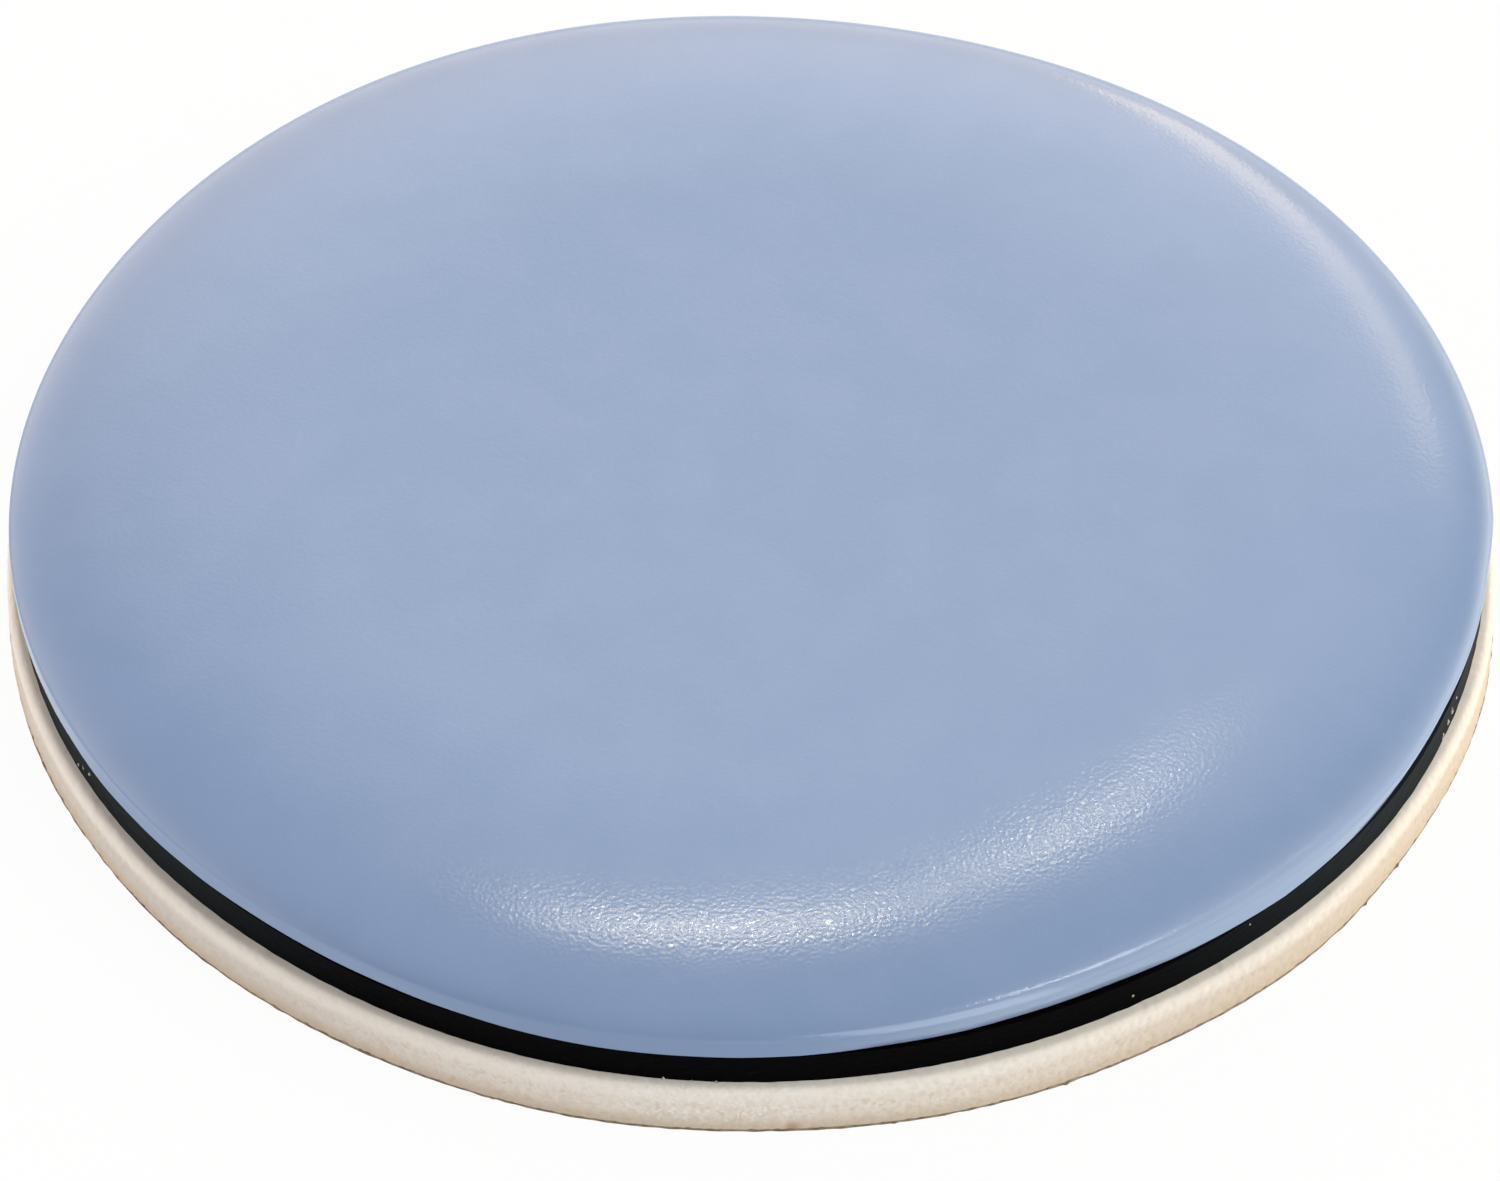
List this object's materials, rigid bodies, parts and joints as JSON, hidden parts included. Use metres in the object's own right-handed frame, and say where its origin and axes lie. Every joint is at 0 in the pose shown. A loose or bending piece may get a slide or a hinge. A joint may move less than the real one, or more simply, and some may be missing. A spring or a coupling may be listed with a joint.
{
  "type": "furniture glide",
  "caption": "Round self-adhesive furniture glide: a blue-grey PTFE cap on a black rubber core, with a cream foam pad and a paper release liner under its adhesive.",
  "frame": {"origin": "centre of the release liner's underside, the lowest point of the glide as it lies", "axes": "+Z along the disc's axis, out of the gliding face; X and Y lie in the disc's plane"},
  "size_m": [0.05, 0.05, 0.005],
  "materials": {
    "ptfe": "blue-grey PTFE, smooth and slightly waxy, with a soft gloss on the shoulder",
    "rubber": "black, satin, cut edge",
    "foam": "cream closed-cell foam with a fine mottled cut edge",
    "liner": "brown-grey release paper with a slightly ragged cut edge"
  },
  "bodies": {
    "root": {"ptfe_cap": "ptfe", "rubber_core": "rubber", "foam_pad": "foam", "release_liner": "liner"}
  },
  "joints": []
}
